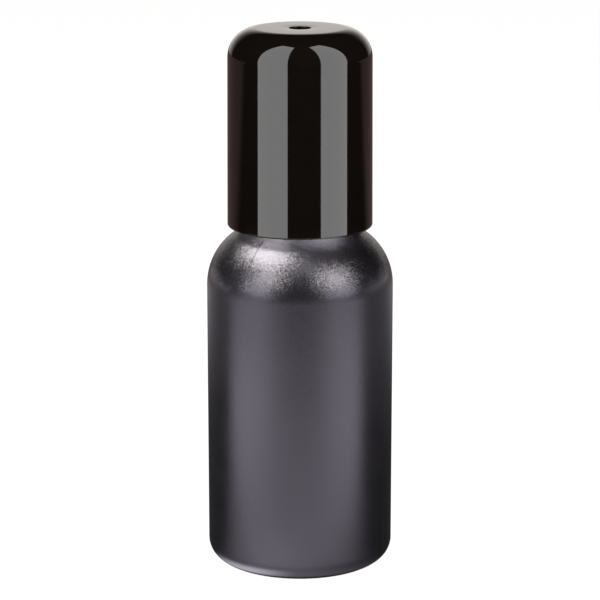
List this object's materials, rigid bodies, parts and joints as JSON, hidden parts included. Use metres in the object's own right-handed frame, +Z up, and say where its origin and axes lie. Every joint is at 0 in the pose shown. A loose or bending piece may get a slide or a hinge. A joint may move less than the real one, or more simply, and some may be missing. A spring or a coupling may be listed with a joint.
{
  "type": "roll-on bottle",
  "caption": "Round coated glass roll-on bottle with a screw-on ball holder, soft seat insert, rolling ball and a tall gloss push-on cap.",
  "frame": {"origin": "middle of the base, in the plane that the bottle stands on", "axes": "+Z up along the bottle's axis, from the base to the cap; X and Y are alike, because the bottle is round"},
  "size_m": [0.029, 0.029, 0.0846],
  "materials": {
    "coated_glass": "opaque satin dark grey metallic coating",
    "gloss_black": "high gloss black",
    "satin_black": "satin moulded black",
    "natural_plastic": "soft milky natural polyethylene",
    "ball_white": "polished white"
  },
  "bodies": {
    "bottle": {"glass_bottle": "coated_glass"},
    "insert": {"seat_insert": "natural_plastic"},
    "holder": {"ball_holder": "satin_black"},
    "ball": {"roller_ball": "ball_white"},
    "cap": {"overcap": "gloss_black"}
  },
  "joints": [
    {"name": "insert_lift", "type": "slide", "parent": "bottle", "child": "insert", "axis": [0, 0, 1], "range_m": [0, 0.006]},
    {"name": "holder_turn", "type": "hinge", "parent": "insert", "child": "holder", "pos_m": [0, 0, 0.0684], "axis": [0, 0, 1], "range_deg": [0, 720]},
    {"name": "ball_roll", "type": "hinge", "parent": "holder", "child": "ball", "pos_m": [0, 0, 0.07467], "axis": [1, 0, 0], "continuous": true},
    {"name": "cap_pull", "type": "slide", "parent": "holder", "child": "cap", "axis": [0, 0, 1], "range_m": [0, 0.034]}
  ],
  "couplings": [
    {"joint": "insert_lift", "follows": "holder_turn", "m_per_rad": 0.000477}
  ]
}
